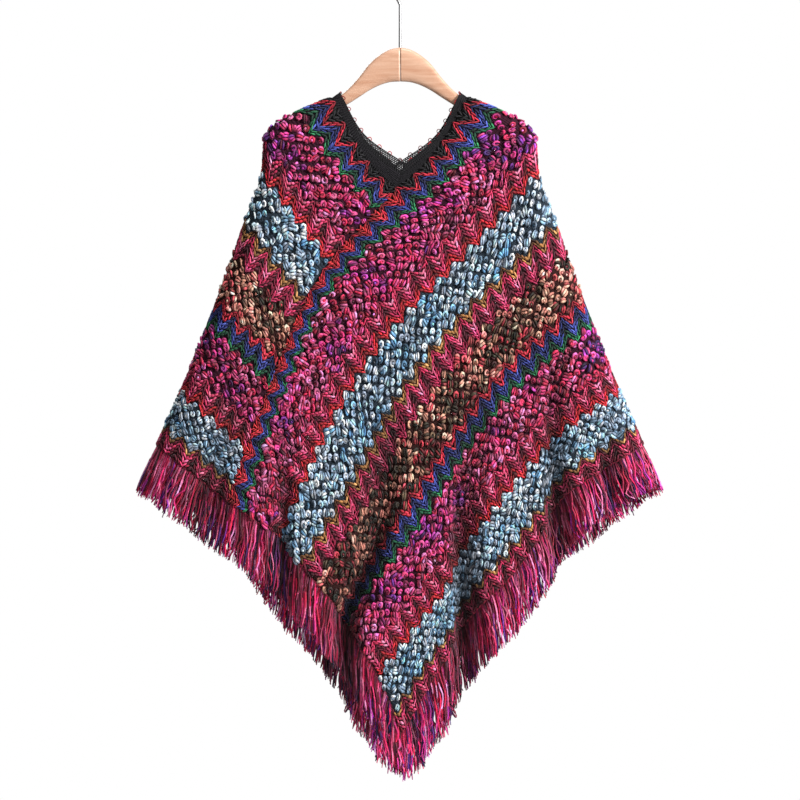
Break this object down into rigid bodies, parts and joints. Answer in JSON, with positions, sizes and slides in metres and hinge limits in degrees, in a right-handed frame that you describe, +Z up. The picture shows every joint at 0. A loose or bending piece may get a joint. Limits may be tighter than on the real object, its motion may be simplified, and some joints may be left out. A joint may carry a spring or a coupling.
{
  "type": "knitted poncho on a wooden hanger",
  "caption": "Chunky striped poncho with a V neck, diagonal seams, dark crochet neck edging and a long fringe round its pointed hem, hung on a wooden hanger with a wire hook",
  "frame": {"origin": "The seat of the hanger's hook: the point of the wire that rests on a rod.", "axes": "+Z is up. The front of the poncho faces -Y. +X is to the right as the front is looked at."},
  "size_m": [0.7796, 0.0994, 1.207],
  "materials": {
    "knit": "matte chunky wool-blend knit of bobble and zigzag stripes",
    "edging": "matte open crochet in dark yarn",
    "fringe": "soft twisted yarn with a slight sheen",
    "beech": "satin clear lacquer on pale beech",
    "steel": "smooth drawn wire"
  },
  "bodies": {
    "root": {"panel_right": "knit", "panel_left": "knit", "neck_edging_right": "edging", "neck_edging_left": "edging", "fringe_right_hem": "fringe", "fringe_left_hem": "fringe", "fringe_right_end": "fringe", "fringe_left_end": "fringe", "hanger_arm_right": "beech", "hanger_arm_left": "beech", "hanger_hook": "steel"}
  },
  "joints": []
}
